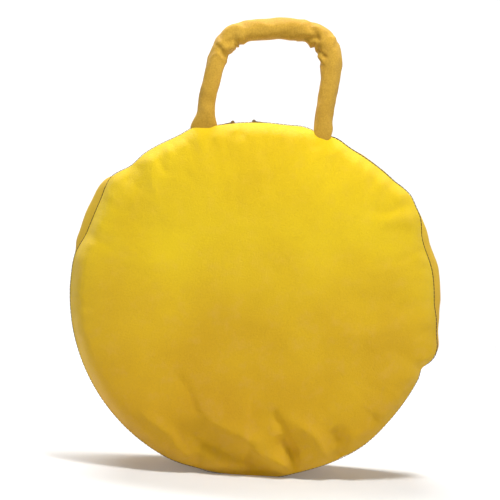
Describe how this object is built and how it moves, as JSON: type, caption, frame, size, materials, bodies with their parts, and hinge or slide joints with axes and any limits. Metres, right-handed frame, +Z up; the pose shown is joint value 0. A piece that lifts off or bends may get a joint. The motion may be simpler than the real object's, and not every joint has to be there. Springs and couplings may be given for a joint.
{
  "type": "diabolo carrying bag",
  "caption": "Round padded cloth bag for a diabolo, with crowned panels, a gusset, a zip over the top and a stuffed loop handle.",
  "frame": {"origin": "middle of the flat sole, on the surface the bag stands on", "axes": "+Z up towards the handle, front panel facing -Y, +X to the right seen from the front"},
  "size_m": [0.36, 0.1408, 0.4486],
  "materials": {
    "cloth": "satin",
    "handle_cloth": "satin",
    "lining": "matte",
    "foam": "matte",
    "binding": "matte",
    "zip_tape": "matte",
    "zip_coil": "satin",
    "zip_metal": "satin"
  },
  "bodies": {
    "bag": {"front_panel": "cloth", "front_foam": "foam", "front_lining": "lining", "back_panel": "cloth", "back_foam": "foam", "back_lining": "lining", "gusset": "cloth", "gusset_foam": "foam", "gusset_lining": "lining", "front_seam_binding": "binding", "back_seam_binding": "binding", "zip_strip_front": "cloth", "zip_strip_rear": "cloth", "zip_tape_front": "zip_tape", "zip_tape_rear": "zip_tape", "zip_coil_front": "zip_coil", "zip_coil_rear": "zip_coil", "zip_stop_left": "zip_metal", "zip_stop_right": "zip_metal", "zip_end_tab_left": "cloth", "zip_end_tab_right": "cloth", "handle_end_left": "handle_cloth", "handle_end_right": "handle_cloth", "handle_patch_left": "binding", "handle_patch_right": "binding"},
    "handle": {"handle_sleeve": "handle_cloth", "handle_core": "foam"},
    "slider_left": {"zip_slider_left": "zip_metal"},
    "slider_right": {"zip_slider_right": "zip_metal"},
    "tab_left": {"pull_tab_left": "zip_metal"},
    "tab_right": {"pull_tab_right": "zip_metal"}
  },
  "joints": [
    {"name": "handle_flop", "type": "hinge", "parent": "bag", "child": "handle", "pos_m": [0, -0.046, 0.351], "axis": [1, 0, 0], "range_deg": [-85, 125]},
    {"name": "zip_left", "type": "hinge", "parent": "bag", "child": "slider_left", "pos_m": [0, 0, 0.1455], "axis": [0, -1, 0], "range_deg": [0, 32.5]},
    {"name": "zip_right", "type": "hinge", "parent": "bag", "child": "slider_right", "pos_m": [0, 0, 0.1455], "axis": [0, 1, 0], "range_deg": [0, 44.5]},
    {"name": "tab_left_flip", "type": "hinge", "parent": "slider_left", "child": "tab_left", "pos_m": [-0.03211, 0, 0.34828], "axis": [0, 1, 0], "range_deg": [0, 150]},
    {"name": "tab_right_flip", "type": "hinge", "parent": "slider_right", "child": "tab_right", "pos_m": [-0.01074, 0, 0.35052], "axis": [0, -1, 0], "range_deg": [0, 150]}
  ]
}
